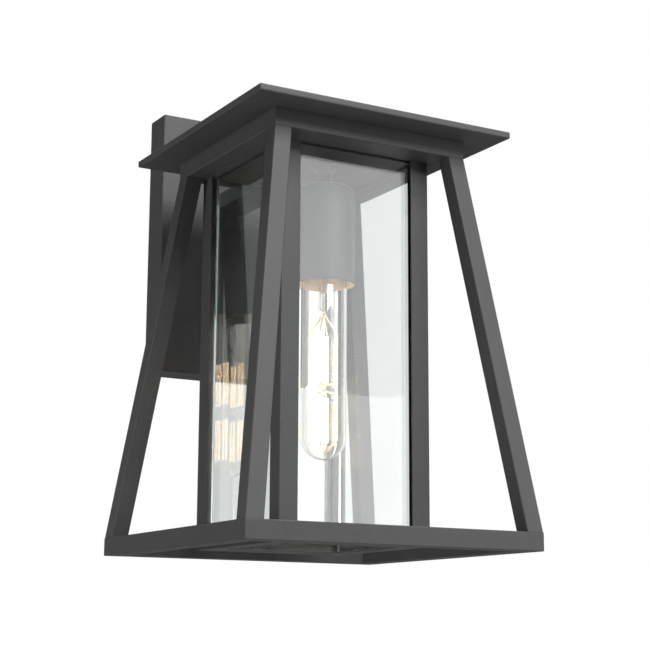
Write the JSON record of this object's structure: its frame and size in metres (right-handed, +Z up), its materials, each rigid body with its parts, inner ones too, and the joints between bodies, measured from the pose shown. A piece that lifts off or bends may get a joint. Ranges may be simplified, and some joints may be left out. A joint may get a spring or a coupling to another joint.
{
  "type": "outdoor wall lantern",
  "caption": "Wall lantern with a splayed square-tube frame, flat roof, straight glass cage open below, and a tubular screw-in lamp.",
  "frame": {"origin": "middle of the wall face, on the back of the wall bracket", "axes": "+Y into the wall, -Y towards the lantern's front, +Z up, +X to the right seen from the front"},
  "size_m": [0.21, 0.2617, 0.3293],
  "materials": {
    "charcoal_powder_coat": "fine matte powder coat",
    "clear_glass": "clear polished float glass",
    "bulb_glass": "clear thin glass",
    "zinc_steel": "zinc plated",
    "holder_plastic": "moulded phenolic",
    "shell_brass": "bright brass",
    "cap_metal": "nickel-bright",
    "insulator_glass": "black vitrite glass",
    "lead_wire_metal": "bare drawn wire",
    "filament_phosphor": "warm phosphor, lit"
  },
  "bodies": {
    "lantern": {"backplate": "charcoal_powder_coat", "bottom_rail_back": "charcoal_powder_coat", "bottom_rail_front": "charcoal_powder_coat", "bottom_rail_left": "charcoal_powder_coat", "bottom_rail_right": "charcoal_powder_coat", "cage_post_back_left": "charcoal_powder_coat", "cage_post_back_right": "charcoal_powder_coat", "cage_post_front_left": "charcoal_powder_coat", "cage_post_front_right": "charcoal_powder_coat", "cage_rail_back": "charcoal_powder_coat", "cage_rail_front": "charcoal_powder_coat", "cage_rail_left": "charcoal_powder_coat", "cage_rail_right": "charcoal_powder_coat", "cap_nut_lower": "charcoal_powder_coat", "cap_nut_upper": "charcoal_powder_coat", "ceiling_plate": "charcoal_powder_coat", "glass_back": "clear_glass", "glass_front": "clear_glass", "glass_left": "clear_glass", "glass_right": "clear_glass", "leg_back_left": "charcoal_powder_coat", "leg_back_right": "charcoal_powder_coat", "leg_front_left": "charcoal_powder_coat", "leg_front_right": "charcoal_powder_coat", "locknut_lower": "zinc_steel", "locknut_upper": "zinc_steel", "mounting_arm": "charcoal_powder_coat", "mounting_stud_lower": "zinc_steel", "mounting_stud_upper": "zinc_steel", "nipple": "zinc_steel", "roof_plate": "charcoal_powder_coat", "socket_body": "holder_plastic", "socket_contact": "shell_brass", "socket_cover": "charcoal_powder_coat", "socket_screw_shell": "shell_brass", "top_rail_back": "charcoal_powder_coat", "top_rail_front": "charcoal_powder_coat", "top_rail_left": "charcoal_powder_coat", "top_rail_right": "charcoal_powder_coat", "wall_bracket": "zinc_steel"},
    "bulb_glass": {"bulb_envelope": "bulb_glass"},
    "bulb_core": {"bulb_cap": "cap_metal", "bulb_insulator": "insulator_glass", "bulb_lead_wires": "lead_wire_metal", "bulb_pip": "cap_metal", "bulb_stem": "bulb_glass", "bulb_support_frame": "lead_wire_metal", "filament_lower_1": "filament_phosphor", "filament_lower_2": "filament_phosphor", "filament_lower_3": "filament_phosphor", "filament_lower_4": "filament_phosphor", "filament_upper_1": "filament_phosphor", "filament_upper_2": "filament_phosphor", "filament_upper_3": "filament_phosphor", "filament_upper_4": "filament_phosphor"}
  },
  "joints": [
    {"name": "bulb_travel", "type": "slide", "parent": "lantern", "child": "bulb_glass", "axis": [0, 0, -1], "range_m": [0, 0.02177]},
    {"name": "bulb_turn", "type": "hinge", "parent": "bulb_glass", "child": "bulb_core", "pos_m": [0, -0.1639, -0.0321], "axis": [0, 0, -1], "range_deg": [0, 2160]}
  ],
  "couplings": [
    {"joint": "bulb_turn", "follows": "bulb_travel", "rad_per_m": 1731.4}
  ]
}
